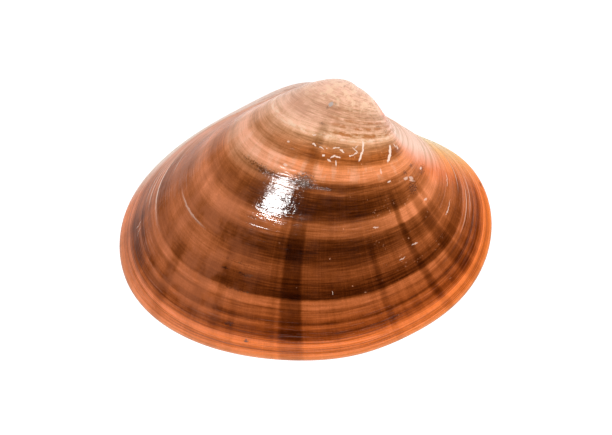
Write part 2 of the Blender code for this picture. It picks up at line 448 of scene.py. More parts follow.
class Wire:
    """One output socket. Arithmetic on it adds Math nodes to the same material."""

    def __init__(self, socket):
        self.socket, self.tree = socket, socket.id_data

    def node(self, kind, settings=(), inputs=(), output=0):
        """Add a node, set its settings or ramp stops, then fill its inputs."""
        made = self.tree.nodes.new(kind)
        for name, value in dict(settings).items():
            if name == "stops":
                while len(made.color_ramp.elements) < len(value):
                    made.color_ramp.elements.new(0)
                for element, (place, colour) in zip(made.color_ramp.elements, value):
                    element.position, element.color = place, colour
            else:
                setattr(made, name, value)
        for name, value in dict(inputs).items():
            if isinstance(value, Wire):
                self.tree.links.new(value.socket, made.inputs[name])
            else:
                made.inputs[name].default_value = value
        return Wire(made.outputs[output])

    def math(self, operation, *values):
        """A Math node on some values. The wire itself only says in which material."""
        return self.node("ShaderNodeMath", {"operation": operation}, enumerate(values))

    def __add__(self, other): return self.math("ADD", self, other)
    def __sub__(self, other): return self.math("SUBTRACT", self, other)
    def __rsub__(self, other): return self.math("SUBTRACT", other, self)
    def __mul__(self, other): return self.math("MULTIPLY", self, other)
    def __truediv__(self, other): return self.math("DIVIDE", self, other)
    def __rpow__(self, other): return self.math("POWER", other, self)
    __radd__, __rmul__ = __add__, __mul__

    def rise(self, start, end):
        """0 up to start, 1 from end on, smooth between."""
        return self.node("ShaderNodeMapRange", {"interpolation_type": "SMOOTHSTEP"},
                         {"Value": self, "From Min": start, "From Max": end})

    def bump_of(self, place, half, soft):
        """1 within half of a place, falling to 0 over soft."""
        away = self - place
        return 1 - self.math("ABSOLUTE", away).rise(half, half + soft)

    def mix(self, first, second):
        """Two colours mixed by this wire: the first at 0, the second at 1."""
        return self.node("ShaderNodeMix", {"data_type": "RGBA"},
                         {0: self, 6: first, 7: second}, output=2)

    def ramp(self, stops):
        """The colour of a ramp at this wire. Each stop is a place and its colour."""
        return self.node("ShaderNodeValToRGB", {"stops": stops}, {0: self})

    def noise(self, scale, detail, rough=0.5):
        """Noise over this vector, whose finer octaves each have rough times the last."""
        return self.node("ShaderNodeTexNoise", {"noise_dimensions": "3D"},
                         {"Vector": self, "Scale": scale, "Detail": detail, "Roughness": rough})


print("a wire can:", [name for name in vars(Wire) if not name.startswith("__")])

# %% [markdown]
# Materials and colours
#
# Each finish starts as Blender's Principled surface. Three things vary over it: its colour,
# its roughness and a fine relief. Colours are written as they look on a screen, because that
# is how one picks them, and are turned into the linear numbers that light adds up in.

# %% Helpers for a finish


def new_material(name):
    """A material with a Principled surface, its surface node and a starting wire."""
    material = bpy.data.materials.new(name)
    material.use_nodes = True
    surface = material.node_tree.nodes["Principled BSDF"]
    return material, surface, Wire(surface.outputs[0])


def wire_up(surface, colour, roughness, height, depth):
    """Drive a surface's colour, its roughness and a relief whose unit height is depth."""
    bump = height.node("ShaderNodeBump",
                       inputs={"Strength": 1.0, "Distance": depth, "Height": height})
    for name, wire in (("Base Color", colour), ("Roughness", roughness), ("Normal", bump)):
        wire.tree.links.new(wire.socket, surface.inputs[name])


def display(red, green, blue):
    """A colour as seen on a screen, 0 to 255, as the linear numbers that nodes work in."""
    seen = np.array([red, green, blue]) / 255
    return (*np.where(seen < 0.04045, seen / 12.92, ((seen + 0.055) / 1.055) ** 2.4).tolist(), 1)


def seen_stops(stops):
    """Ramp stops from rows of place, red, green and blue."""
    return [(place, display(*colour)) for place, *colour in stops]


print("brown in linear numbers:", [round(c, 3) for c in display(77, 31, 4)])

# %% [markdown]
# Growth coordinates
#
# Every pattern on the shell runs along growth lines or across them. So the material reads
# the mesh's growth attribute and works out two numbers: the size of the growth line, and the
# ray's angle in degrees, 0 straight down the shell, less than 0 behind and more in front.
# Noise is stretched along the growth lines by scaling the same attribute before it is read.

# %% Where am I on the shell?
outside_finish, surface, start = new_material("banded_shell")
growth_line = start.node("ShaderNodeAttribute", {"attribute_name": "growth"}, output=1)
cosine, sine, size = (start.node("ShaderNodeSeparateXYZ", inputs={0: growth_line}, output=i)
                      for i in range(3))
degrees = start.math("ARCTAN2", sine, cosine) * (180 / np.pi)
turn_share = (degrees + 180) / 360


def growth_noise(along, across, detail=3.0, rough=0.55, seed=0.0):
    """Noise in growth coordinates: features per radian along, and per unit of size across."""
    scaled = start.node("ShaderNodeVectorMath", {"operation": "MULTIPLY_ADD"},
                        {0: growth_line, 1: (along, along, across), 2: (seed, seed, seed)})
    return scaled.noise(1.0, detail, rough)


def swing(width, *noise):
    """A growth noise that swings about 0, over a width."""
    return (growth_noise(*noise) - 0.5) * width


placed = size + swing(0.006, 5, 3, 2) + swing(0.004, 26, 9, 2)
print("size is read from the mesh, with a small waver")

# %% [markdown]
# Pigment in clear shell
#
# The brown is not paint. It is pigment laid down in clear peach and orange shell, so deeper
# pigment darkens all colours, and blue most of all. One number, the pigment's density, is
# therefore enough for every shade from peach to nearly black: the colour is the clear
# shell's colour times a share for each of red, green and blue, raised to the density. A
# ramp of browns would also work, but a sum of densities lets bands and rays cross freely.
#
# The bands come first. Each band was the whole margin once, so a band is a range of sizes.
# Its edge towards the margin is often sharp, where growth stopped, and its other edge fades.
# Two ramps hold the bands, old and young, because one ramp holds 32 stops.

# %% Bands: size of the growth line, and density
DENSEST, FIRST_YOUNG = 3.0, 0.625
OLD_BANDS = ((0.14, 0.05), (0.20, 0.03), (0.24, 0.26), (0.29, 0.16), (0.318, 0.12),
             (0.329, 0.24), (0.337, 0.0), (0.357, 0.25), (0.366, 0.62), (0.392, 0.58),
             (0.413, 0.92), (0.431, 0.48), (0.440, 0.06), (0.472, 0.22), (0.484, 0.70),
             (0.495, 1.90), (0.506, 1.65), (0.515, 1.30), (0.522, 1.95), (0.545, 2.45),
             (0.582, 2.50), (0.590, 1.85), (0.603, 0.98), (0.625, 1.00))
YOUNG_BANDS = ((0.625, 1.00), (0.640, 1.25), (0.655, 2.15), (0.672, 2.45), (0.698, 2.30),
               (0.715, 1.80), (0.735, 1.35), (0.752, 1.45), (0.776, 2.20), (0.795, 2.60),
               (0.809, 2.45), (0.815, 0.95), (0.823, 0.60), (0.829, 0.85), (0.837, 0.50),
               (0.844, 1.17), (0.852, 0.98), (0.868, 0.95), (0.877, 1.42), (0.884, 1.80),
               (0.892, 0.85), (0.900, 0.92), (0.910, 1.52), (0.924, 1.15), (0.934, 0.75),
               (0.943, 0.30), (0.950, 0.06), (0.959, 0.02), (0.966, 0.36), (0.976, 0.30),
               (0.983, 0.05), (1.000, 0.04))


def grey_ramp(at, stops, most):
    """A ramp of plain numbers. A stop holds at most 1, so they are divided by most first."""
    return at.ramp([(place, (value / most,) * 3 + (1,)) for place, value in stops]) * most


is_young = start.math("GREATER_THAN", placed, FIRST_YOUNG)
bands = (grey_ramp(placed, OLD_BANDS, DENSEST) * (1 - is_young)
         + grey_ramp(placed, YOUNG_BANDS, DENSEST) * is_young)
print("bands:", len(OLD_BANDS) + len(YOUNG_BANDS), "stops")

# %% [markdown]
# Bands thin out sideways
#
# Towards the shell's two ends the bands thin out, and the cap's, the old, the young and the
# last bands each do so at their own angles. So each group has a second ramp, along the
# growth line, and the groups hand over to one another as the size grows. One band, at
# PALE_GAP, is washed out in front.

# %% How strong a band is, by degrees from straight down the shell
STRONGEST = 1.2
CAP_STRENGTH = ((-180, 0.00), (-68, 0.00), (-58, 0.42), (-38, 0.68), (-22, 0.92), (0, 1.08),
                (50, 1.14), (97, 1.14), (102, 0.66), (107, 0.05), (180, 0.00))
OLD_STRENGTH = ((-180, 0.05), (-72, 0.14), (-60, 0.26), (-48, 0.24), (-38, 0.40), (-28, 0.52),
                (-20, 0.68), (-8, 0.88), (4, 0.94), (26, 1.00), (50, 1.00), (66, 0.88),
                (82, 0.66), (90, 0.42), (104, 0.18), (180, 0.05))
YOUNG_STRENGTH = ((-180, 0.30), (-72, 0.50), (-58, 0.46), (-46, 0.38), (-34, 0.46), (-20, 0.72),
                  (-8, 0.88), (4, 0.90), (26, 1.00), (50, 1.00), (66, 0.86), (82, 0.80),
                  (90, 0.74), (104, 0.52), (180, 0.35))
EDGE_STRENGTH = ((-180, 0.30), (-88, 0.40), (-70, 0.70), (-56, 0.88), (-46, 0.78), (-36, 0.78),
                 (-20, 0.92), (0, 1.00), (100, 0.98), (112, 0.82), (124, 0.40), (180, 0.20))
PALE_GAP, PALE_GAP_TURN, PALE_GAP_SHARE = (0.622, 0.016, 0.016), (52, 92), 0.72


def by_angle(stops):
    """A ramp along a growth line, with its stops in degrees."""
    return grey_ramp(turn_share, [((turn + 180) / 360, value) for turn, value in stops],
                     STRONGEST)


strength = by_angle(CAP_STRENGTH)
for stops, first, last in ((OLD_STRENGTH, 0.43, 0.46), (YOUNG_STRENGTH, 0.60, 0.80),
                           (EDGE_STRENGTH, 0.80, 0.84)):
    share = placed.rise(first, last)
    strength = strength * (1 - share) + by_angle(stops) * share
washed_out = placed.bump_of(*PALE_GAP) * degrees.rise(*PALE_GAP_TURN) * PALE_GAP_SHARE
bands = bands * (1 - washed_out) * strength
print("nodes for the bands:", len(start.tree.nodes))

# %% [markdown]
# Rays
#
# Rays run from the beak to the margin, because a spot on the animal's mantle coloured the
# same place of each new growth line. They drift slowly round the shell, which the mesh has
# already undone in its ray angle, so a ray is just a bump around one angle. It is faint
# before the size where it starts, and all rays fade in the last clear rim.

# %% Rays: angle, half width, soft edge, density, and the size where it starts
RAYS = ((13.2, 3.6, 2.4, 0.95, 0.62), (77.8, 0.5, 1.9, 0.74, 0.56), (91.8, 1.4, 2.6, 0.64, 0.60),
        (57.8, 0.5, 1.8, 0.48, 0.68), (53.0, 0.5, 2.5, 0.18, 0.80),
        (-38.0, 0.8, 2.0, 0.38, 0.80), (-38.9, 1.2, 2.6, 0.12, 0.50),
        (-25.5, 0.8, 1.8, 0.24, 0.84), (-17.5, 0.7, 1.8, 0.30, 0.70),
        (-11.5, 0.5, 1.6, 0.28, 0.86), (-57.0, 6.0, 4.0, 0.60, 0.91),
        (-64.0, 1.5, 3.0, 0.18, 0.60), (104.0, 1.5, 4.0, 0.20, 0.50),
        (69.0, 0.4, 2.0, 0.18, 0.70), (84.5, 0.4, 1.4, 0.22, 0.60),
        (-46.0, 0.5, 2.5, 0.16, 0.60), (34.0, 0.4, 1.5, 0.10, 0.50), (4.8, 0.6, 2.5, 0.22, 0.55),
        (97.5, 0.8, 1.8, 0.34, 0.56), (64.5, 0.4, 1.8, 0.14, 0.74))
FAINT, STARTS_BEFORE, STARTS_AFTER = 0.10, 0.05, 0.03
LAST_RIM, LAST_RIM_SHARE = (0.925, 0.955), 0.62

ray_angle = degrees + swing(1.6, 2, 7, 2) + swing(0.9, 3, 60, 2)
rays = 0
for place, half, edge, dark, first in RAYS:
    started = placed.rise(first - STARTS_BEFORE, first + STARTS_AFTER)
    rays = rays + ray_angle.bump_of(place, half, edge) * (FAINT + (1 - FAINT) * started) * dark
broken = 0.45 + growth_noise(14, 26, 3, 0.6, 21) * 1.1
rays = rays * (1 - LAST_RIM_SHARE * placed.rise(*LAST_RIM)) * broken
old_ray = ray_angle.bump_of(11.0, 1.5, 6.0) * placed.bump_of(0.41, 0.08, 0.08) * 0.32
print("rays:", len(RAYS) + 1)

# %% [markdown]
# Fine lines
#
# Between the bands lie hundreds of thinner growth lines, and very fine rays cross them like
# threads. Drawing them one by one is hopeless. Noise that is stretched along a growth line
# gives the lines, and noise stretched across gives the threads. All of them grow with the
# bands' own density, since clear shell shows few lines. Behind the middle the lines are
# softer and the clouds between them stronger.

# %% Lines, threads and clouds
on_cap = 1 - placed.rise(0.28, 0.36)
on_old = 1 - placed.rise(0.48, 0.56)
patchy = (0 - degrees).rise(-4, 32)


def growing(least, gain):
    """least on clear shell, and gain more for each unit of the bands' density."""
    return least + bands * gain


lines = (swing(2.2, 1.3, 62, 4, 0.62) + swing(3.0, 2.2, 170, 3, 0.6, 7)
         + swing(1.6, 5, 290, 2, 0.5, 3))
lines = lines * (growing(0.13, 0.24) + on_cap * 0.14 + on_old * 0.15) * (1 - patchy * 0.38)
threads = (swing(1.0, 42, 1.6, 3, 0.6, 5) + swing(0.9, 120, 5, 2, 0.5, 9)) * growing(0.10, 0.24)
clouds = swing(0.9, 9, 20, 4, 0.6, 11) * growing(0.24, 0.26) * (1 + patchy * 0.9)
grain = swing(1.0, 80, 240, 2, 0.6, 91) * growing(0.30, 0.22)
late = growth_noise(2.0, 120, 3, 0.6, 53).rise(0.53, 0.60) * (growing(0.05, 0.09) + on_cap * 0.06)
crisp = (growth_noise(0.8, 230, 2, 0.5, 51).rise(0.52, 0.57) * placed.rise(0.90, 0.93)
         * (1 - placed.rise(0.972, 0.992) * 0.6) * 0.42)
fine = lines + threads + clouds + grain + late + crisp
print("fine lines between the bands")

# %% [markdown]
# Wear
#
# This shell has lived and been carried about. It has chalky scratches across the cap, small
# chips along the growth rests, a grey spot on the cap and some dark blotches. Those that one
# would look for are laid down where they lie on the real shell, from the tables below.

# %% Scratches: start angle and size, end angle and size, half width, and whiteness
SCRATCHES = ((7, 0.377, 11, 0.382, 0.50, 0.9), (14, 0.381, 20, 0.386, 0.40, 0.8),
             (21.6, 0.381, 22.4, 0.382, 0.5, 0.7), (28, 0.379, 31, 0.374, 0.45, 0.9),
             (31, 0.374, 35.6, 0.372, 0.45, 0.9), (36, 0.379, 40.5, 0.387, 0.65, 0.9),
             (28, 0.408, 31.7, 0.400, 0.55, 0.9), (31.7, 0.400, 37.6, 0.404, 0.55, 0.9),
             (25.6, 0.416, 28.4, 0.418, 0.80, 0.8), (33.8, 0.418, 34.2, 0.428, 0.80, 0.9),
             (49.5, 0.367, 56, 0.385, 0.55, 0.8), (56, 0.358, 50, 0.376, 0.40, 0.5),
             (46, 0.395, 50, 0.393, 0.50, 0.9), (50, 0.393, 55.6, 0.383, 0.50, 0.8),
             (62, 0.347, 61.2, 0.378, 1.25, 1.0), (61.2, 0.375, 56.3, 0.412, 1.05, 1.0),
             (92.6, 0.377, 88.9, 0.410, 1.50, 1.0), (89.2, 0.406, 84.0, 0.432, 1.15, 1.0),
             (98, 0.380, 98.4, 0.392, 0.75, 0.7), (100.7, 0.390, 100, 0.403, 0.80, 0.7),
             (20, 0.404, 21, 0.404, 0.90, 1.0), (-13, 0.395, -12, 0.395, 0.70, 0.6),
             (-7.5, 0.459, -6, 0.459, 0.90, 0.5), (75.7, 0.450, 75, 0.466, 0.90, 0.5),
             (3.5, 0.355, 7, 0.349, 0.50, 0.6), (79, 0.499, 80.6, 0.499, 0.80, 0.8),
             (91.8, 0.515, 94, 0.518, 1.2, 0.5), (96.2, 0.526, 97, 0.534, 1.4, 0.5),
             (94.5, 0.530, 98, 0.550, 0.5, 0.5), (107.4, 0.541, 108.4, 0.541, 0.9, 0.7),
             (96.4, 0.629, 97.6, 0.630, 0.9, 0.5), (61, 0.625, 64, 0.627, 0.40, 0.6),
             (70, 0.752, 73, 0.750, 0.40, 0.5), (78.5, 0.728, 81, 0.731, 0.40, 0.6),
             (100, 0.743, 108, 0.741, 0.40, 0.6), (119, 0.714, 112.5, 0.713, 0.60, 0.6),
             # The row from -51 to -34 at size 0.703 lies along a growth rest: a painted reflection
             # line, not a scratch.
             (33.6, 0.788, 33.8, 0.797, 0.30, 0.5), (-51, 0.703, -34, 0.703, 0.40, 0.35),
             (-61.4, 0.888, -60.6, 0.912, 0.35, 0.4), (-59, 0.890, -58.2, 0.910, 0.30, 0.3))
print("scratches:", len(SCRATCHES))

# %% [markdown]
# Dark blotches and painted glints on the rests
#
# Blotches are darker pigment that gathered in one place. Along part of their length, the
# growth rests on the two ends of the shell catch the light as long pale hairlines, and these
# are painted: pale lines that stand in for the light reflected by the rests' steps.

# %% Blotches: angle, size, half length, half width, strength. Painted glints: size, angle, half length
BLOTCHES = ((-18.1, 0.768, 1.8, 1.0, 1.2), (-9.9, 0.768, 4.6, 1.0, 0.9),
            (-13, 0.742, 7.5, 0.9, 0.5), (-11.7, 0.912, 1.8, 1.8, 0.9),
            (-11.2, 0.812, 6.5, 0.9, 0.7),
            (-13.4, 0.618, 3.5, 0.8, 0.5), (58.8, 0.912, 1.8, 2.0, 0.5),
            (-4.8, 0.952, 0.9, 0.9, 2.0), (121, 0.985, 1.0, 1.2, 1.2),
            (-22.8, 0.490, 12.0, 1.3, 0.9), (-17, 0.497, 7.0, 1.6, 0.8),
            (10, 0.488, 9.0, 4.6, 1.0), (27, 0.501, 11.0, 0.9, 0.7), (14.0, 0.372, 4.0, 0.8, 0.4),
            (7.8, 0.309, 3.5, 0.8, 0.5), (80.4, 0.240, 3.0, 1.3, 0.6),
            (84.0, 0.253, 3.0, 1.3, 0.6), (96.0, 0.315, 4.0, 1.6, 0.6),
            (87.0, 0.290, 5.0, 1.2, 0.6), (4.8, 0.250, 3.0, 1.3, 0.6),
            (13.7, 0.227, 2.6, 0.9, 0.6), (-12.6, 0.204, 6.0, 0.9, 0.6),
            (-12, 0.118, 4.0, 1.0, 0.6), (-7.5, 0.139, 4.0, 0.8, 0.5),
            (6.5, 0.130, 3.5, 2.0, 0.5), (94.3, 0.497, 3.0, 1.8, 0.8),
            (102.2, 0.492, 2.0, 1.5, 0.7), (108.0, 0.551, 4.0, 2.6, 0.8),
            (93.8, 0.563, 4.0, 4.5, 0.9))
GREY_SPOT = ((6.6, 0.233, 3.8, 2.3, 1.0),)
# Painted glints: pale lines painted along the growth rests, where their steps reflect the light.
PAINTED_REST_GLINTS = ((0.817, -76, 18, 0.95), (0.834, -86, 14, 0.60), (0.760, -78, 10, 0.45),
           (0.853, -73, 9, 0.60), (0.874, -77, 9, 0.50), (0.799, -85, 9, 0.45),
           (0.838, 110, 9, 0.35), (0.786, 124, 9, 0.45), (0.862, 116, 8, 0.35),
           (0.704, -43, 9, 0.30))
print("blotches:", len(BLOTCHES), "chalky rests:", len(PAINTED_REST_GLINTS))

# %% [markdown]
# Laying a mark down
#
# A mark could be cut into the mesh, but most are thinner than its faces. Instead each is a
# soft ellipse in growth coordinates: a Mapping node brings the ellipse to a unit circle, and
# a spherical gradient fills it. Bending the coordinates with noise first makes the outlines
# uneven, and a blotch's edge is eaten away as well.

# %% Marks as soft ellipses
SPOT_SCALE, BLOTCH_GROWTH, EATEN, FILL = 180, 1.3, 0.80, (0.0, 0.35)
BEND_GRAIN, BEND, BEND_MIDDLE = (30, 30, 90), (2.2, 2.2, 0), 1.1

grained = start.node("ShaderNodeVectorMath", {"operation": "MULTIPLY"},
                     {0: growth_line, 1: BEND_GRAIN})
bending = start.node("ShaderNodeTexNoise", inputs={"Vector": grained, "Scale": 1.0, "Detail": 2.0},
                     output=1)
spot_place = start.node("ShaderNodeCombineXYZ", inputs={0: degrees - BEND_MIDDLE,
                                                        1: size * SPOT_SCALE - BEND_MIDDLE})
bent = start.node("ShaderNodeVectorMath", {"operation": "MULTIPLY_ADD"},
                  {0: bending, 1: BEND, 2: spot_place})


def laid_marks(ellipses, ragged=0.0):
    """The strongest of several soft ellipses, each filled from its rim inwards.

    What is ragged, from 0 to 1, eats into an ellipse from its rim and breaks it up.
    """
    strongest = None
    for turn, at, long, wide, lean, strong in ellipses:
        unit = start.node("ShaderNodeMapping", {"vector_type": "TEXTURE"},
                          {"Vector": bent, "Location": (turn, at, 0),
                           "Rotation": (0, 0, lean), "Scale": (long, wide, 1)})
        inside = start.node("ShaderNodeTexGradient", {"gradient_type": "SPHERICAL"}, {0: unit}, 1)
        filled = (inside - ragged).rise(*FILL) * strong
        strongest = filled if strongest is None else filled.math("MAXIMUM", filled, strongest)
    return strongest


def strokes(marks):
    """A scratch between two ends, as an ellipse: middle, half length and lean of the line."""
    ends = np.array(marks)
    (turn, turn_end), (at, at_end) = ends[:, [0, 2]].T, ends[:, [1, 3]].T * SPOT_SCALE
    long = np.hypot(turn_end - turn, at_end - at) / 2 + ends[:, 4]
    return np.stack([(turn + turn_end) / 2, (at + at_end) / 2, long, ends[:, 4],
                     np.arctan2(at_end - at, turn_end - turn), ends[:, 5]], -1).tolist()


def spots(marks, larger=1.0):
    """Upright ellipses from rows of angle, size, half length, half width and strength."""
    return [(turn, at * SPOT_SCALE, long * larger, wide * larger, 0, strong)
            for turn, at, long, wide, strong in marks]


ragged = growth_noise(62, 210, 3, 0.75, 27).rise(0.38, 0.62)
scratched = laid_marks(strokes(SCRATCHES))
blotched = laid_marks(spots(BLOTCHES, BLOTCH_GROWTH), ragged * EATEN)
grey_spot = laid_marks(spots(GREY_SPOT))
print("marks laid:", len(SCRATCHES) + len(BLOTCHES) + len(GREY_SPOT))

# %% [markdown]
# Painted glints, chips and specks
#
# The smallest damage has no pattern of its own. A Voronoi texture has one point in each of
# its cells, so a small circle round that point is a chip, and a slow noise chooses the
# patches where chips are kept. The painted glints follow the rests' table, broken by noise.

# %% Small damage, and the painted glints on the rests
GLINT_HALF, GLINT_EDGE, GLINT_SURE = 0.0010, 0.0035, 0.4

painted_rest_glints = 0
for at, middle, half, whiteness in PAINTED_REST_GLINTS:
    length = degrees.bump_of(middle, half * GLINT_SURE, half)
    painted_rest_glints = painted_rest_glints + placed.bump_of(at, GLINT_HALF, GLINT_EDGE) * length * whiteness
painted_rest_glints = painted_rest_glints * growth_noise(7, 300, 3, 0.7, 31).rise(0.32, 0.50)


def scattered(scale, core, patches, detail, kept):
    """Dots of a core size, one in each cell, kept where a noise of patches is high."""
    cells = start.node("ShaderNodeTexVoronoi", {"feature": "F1"},
                       {"Vector": bent, "Scale": scale, "Randomness": 1.0})
    return (1 - cells.rise(*core)) * bent.noise(patches, detail).rise(*kept)


chipped = scattered(0.22, (0.03, 0.13), 0.13, 1.0, (0.55, 0.61)) * degrees.bump_of(60, 35, 35)
nicked = (scattered(0.55, (0.08, 0.26), 0.09, 2.0, (0.50, 0.60))
          * degrees.bump_of(84, 16, 16) * placed.bump_of(0.56, 0.16, 0.14))
pitted = chipped * 0.46 + nicked * 0.32
# Real white scratches and the painted glints along the rests, in one mask.
worn_white_and_glints = start.math("MAXIMUM", scratched, painted_rest_glints)
specks = growth_noise(110, 300, 3, 0.7, 17).rise(0.50, 0.62) * blotched
print("nodes with the wear:", len(start.tree.nodes))

# %% [markdown]
# Zones of the shell
#
# Before the colours, it helps to name the places. The two upper flanks carry no bands: one
# lies in front of the beak and one behind it. Near the margin the shell is thin, and the
# glow of light through it is painted there as a pale colour. Near the beak in front and far
# behind, pale colours partly paint glare and sheen too. Each zone is a mask from 0 to 1 with
# soft, slightly wandering limits.

# %% Masks of the zones
turned = degrees + swing(9, 3, 12, 3, 0.6, 2)
backward = 0 - turned
fronted = turned - placed.rise(0.50, 0.85) * 14
bare = fronted.rise(101, 114) + backward.rise(72, 88)
flank = fronted.rise(99, 112) + backward.rise(72, 86)
# Pale front near the beak: partly the shell's paler colour, partly painted glare.
young_flank_glare = (((turned - placed * 50).rise(80, 97) + backward.rise(50, 80) * 0.15)
               * (1 - placed.rise(0.56, 0.76)) * placed.rise(0.20, 0.36))
# Painted glow: a pale colour along the back margin, for light shining through the thin shell and
# for glare there.
painted_edge_glow = placed.rise(0.88, 1.0) * backward.rise(72, 94) * 0.95
# Far behind: the shell's paler colour with a painted sheen over it; the same mask also thins the
# lines there.
behind = placed.rise(0.74, 0.90) * backward.rise(108, 126) * 0.8
print("zones: bare, flank, young_flank_glare, painted_edge_glow, behind")

# %% [markdown]
# The colour of clear shell
#
# Under the pigment the shell is peach at the beak and turns orange towards the margin. The
# back flank is pinkish, and a blush lies over the back half. The front flank's pale yellow
# where it is thinnest is painted light, for light shining through the thin shell and for
# glare. Two ramps give the plain colours, and each zone's mask mixes in its own.

# %% Clear colour
CLEAR = ((0.00, 250, 198, 170), (0.14, 253, 194, 162), (0.20, 254, 198, 166),
         (0.30, 254, 196, 164), (0.345, 255, 200, 162), (0.40, 252, 150, 82),
         (0.46, 250, 154, 102), (0.66, 248, 150, 102), (0.84, 248, 142, 90),
         (0.94, 250, 130, 64), (0.985, 252, 134, 62), (1.00, 252, 150, 80))
# Round the flanks. The pale yellow front stops from 132 degrees on are painted light through the
# thin shell and glare.
FLANKS = ((-180, 240, 184, 154), (-150, 248, 184, 148), (-112, 248, 172, 134),
          (-90, 240, 162, 128), (-72, 220, 142, 108), (96, 248, 142, 90), (118, 244, 126, 66),
          (126, 250, 152, 88), (132, 253, 186, 118), (140, 253, 220, 172), (149, 253, 230, 204),
          (172, 240, 184, 152))
PINK, BLUSH, PALE_BLUSH = (252, 184, 150), (240, 153, 118), (252, 192, 164)
# Pale colours painted for glare near the beak, for glow through the thin margin, and for sheen far
# behind.
YOUNG_FLANK_GLARE, PAINTED_EDGE_GLOW, PALE_BACK_AND_SHEEN = (253, 208, 186), (255, 240, 230), (255, 226, 212)

banded = start.math("MINIMUM", bands * 0.9, 1.0)
pinked = (growth_noise(7, 11, 3, 0.6, 61).rise(0.48, 0.62) * placed.bump_of(0.42, 0.08, 0.07)
          * (1 - banded) * 0.55)
blush = backward.rise(-10, 50) * placed.rise(0.50, 0.58) * 0.45
pale_blush = backward.rise(-18, 44) * placed.bump_of(0.42, 0.07, 0.05) * 0.62
flank_and_glow_colour = turn_share.ramp(
    seen_stops(((turn + 180) / 360, *colour) for turn, *colour in FLANKS))
clear = placed.ramp(seen_stops(CLEAR))
for mask, tint in ((pinked, display(*PINK)), (blush, display(*BLUSH)),
                   (pale_blush, display(*PALE_BLUSH)), (flank, flank_and_glow_colour),
                   (young_flank_glare, display(*YOUNG_FLANK_GLARE)), (painted_edge_glow, display(*PAINTED_EDGE_GLOW)),
                   (behind, display(*PALE_BACK_AND_SHEEN))):
    clear = mask.mix(clear, tint)
print("clear shell:", len(CLEAR), "stops across,", len(FLANKS), "round the flanks")

# %% [markdown]
# The cap's own marks
#
# The cap is the shell of its youth, and it is mottled rather than banded: grey where it is
# worn, cream round the beak, and ochre in short dashes just inside a pale ring. That ring is
# where the colours change, so its parts are laid at named sizes.

# %% Mottling, ochre, cream and the pale ring
mottle = (growth_noise(2.4, 30, 4, 0.6, 4) * 0.5
          + growth_noise(4, 85, 4, 0.65, 14) * 0.5).rise(0.38, 0.60)
mottle = mottle * (1 - placed.rise(0.29, 0.325)) * (0.10 + 0.16 * placed.rise(0.19, 0.24))
ochre = (placed.bump_of(0.327, 0.002, 0.012) * 0.9 + placed.bump_of(0.300, 0.001, 0.009) * 0.8
         + placed.bump_of(0.276, 0.001, 0.008) * 0.5)
ochre = ochre * growth_noise(5, 60, 4, 0.65, 41).rise(0.42, 0.56) * degrees.bump_of(70, 34, 30)
cream = growth_noise(3.2, 34, 3, 0.6, 24).rise(0.46, 0.60) * (1 - placed.rise(0.21, 0.25)) * 0.65
pale_ring = (placed.bump_of(0.343, 0.003, 0.009) * degrees.bump_of(12, 80, 18)
             * growth_noise(9, 110, 3, 0.65, 37).rise(0.45, 0.62)
             * (1 - ray_angle.bump_of(8, 2, 5) * 0.8) * 0.66)
flank_lines = growth_noise(0.9, 60, 4, 0.6, 33).rise(0.50, 0.62) * bare * (1 - behind) * 0.26
print("marks of the cap and lines of the flanks")

# %% [markdown]
# Staining the shell
#
# Now everything meets in one number. The densities are added up, each thinned where its zone
# has no pigment, and the clear colour is multiplied by share ** density. After that only
# surface effects are left: milky and worn patches, a painted sheen of reflected light,
# smudges, and white scratches with the painted glints along the rests are mixed over the
# stained shell in turn, from the deepest to the outermost.

# %% Density, staining and tints
PIGMENT_SHARES = (0.368, 0.300, 0.182)
MOTTLED, MILKY, PAINTED_SHEEN, OCHRE = (222, 144, 116), (180, 106, 72), (247, 196, 176), (206, 118, 54)
CREAM, RING, SMUDGE, GREY = (253, 210, 172), (255, 218, 188), (132, 104, 88), (188, 180, 176)
# The last colour here is the pale white of the scratches and of the painted glints on the rests.
CHIP, CHALK_AND_GLINT = (247, 176, 134), (253, 220, 200)

density = ((bands + rays + old_ray) * (1 - bare)
           + fine * (1 - 0.72 * bare) * (1 - 0.6 * behind) + flank_lines
           + blotched * 0.75 + specks * 0.4 + mottle + ochre * 0.70 - cream * 0.2)
density = start.math("MAXIMUM", density, 0.0)
passing = start.node("ShaderNodeCombineColor",
                     inputs={i: share ** density for i, share in enumerate(PIGMENT_SHARES)})
colour = start.node("ShaderNodeMix", {"data_type": "RGBA", "blend_type": "MULTIPLY"},
                    {0: 1.0, 6: clear, 7: passing}, output=2)
milky = (growth_noise(6, 13, 3, 0.6, 63).rise(0.42, 0.58) * patchy * placed.rise(0.52, 0.62)
         * (1 - placed.rise(0.90, 0.94)) * 0.36)
# A painted sheen: pale pink reflected light painted over the cap, strongest on its back half.
painted_sheen = backward.rise(-45, 25) * (1 - placed.rise(0.31, 0.36)) * 0.24
smudge = blotched * degrees.bump_of(12, 12, 10) * 0.6
for mask, tint in ((mottle * 0.9, MOTTLED), (milky, MILKY), (painted_sheen, PAINTED_SHEEN), (ochre * 0.6, OCHRE),
                   (cream, CREAM), (pale_ring, RING), (smudge, SMUDGE), (grey_spot * 0.8, GREY),
                   (pitted, CHIP), (worn_white_and_glints, CHALK_AND_GLINT)):
    colour = mask.mix(colour, display(*tint))
print("nodes with the colour:", len(start.tree.nodes))

# %% [markdown]
# Gloss
#
# The shell is polished but finely scratched along its growth lines, so a lamp's reflection
# breaks into concentric streaks. A bump of stretched noise tilts the surface a few degrees
# from line to line. The cap is more worn than the rest, and its gloss is duller.

# %% Roughness and fine relief
STREAK_DEPTH, POLISHED = 0.10 * MM, 0.08

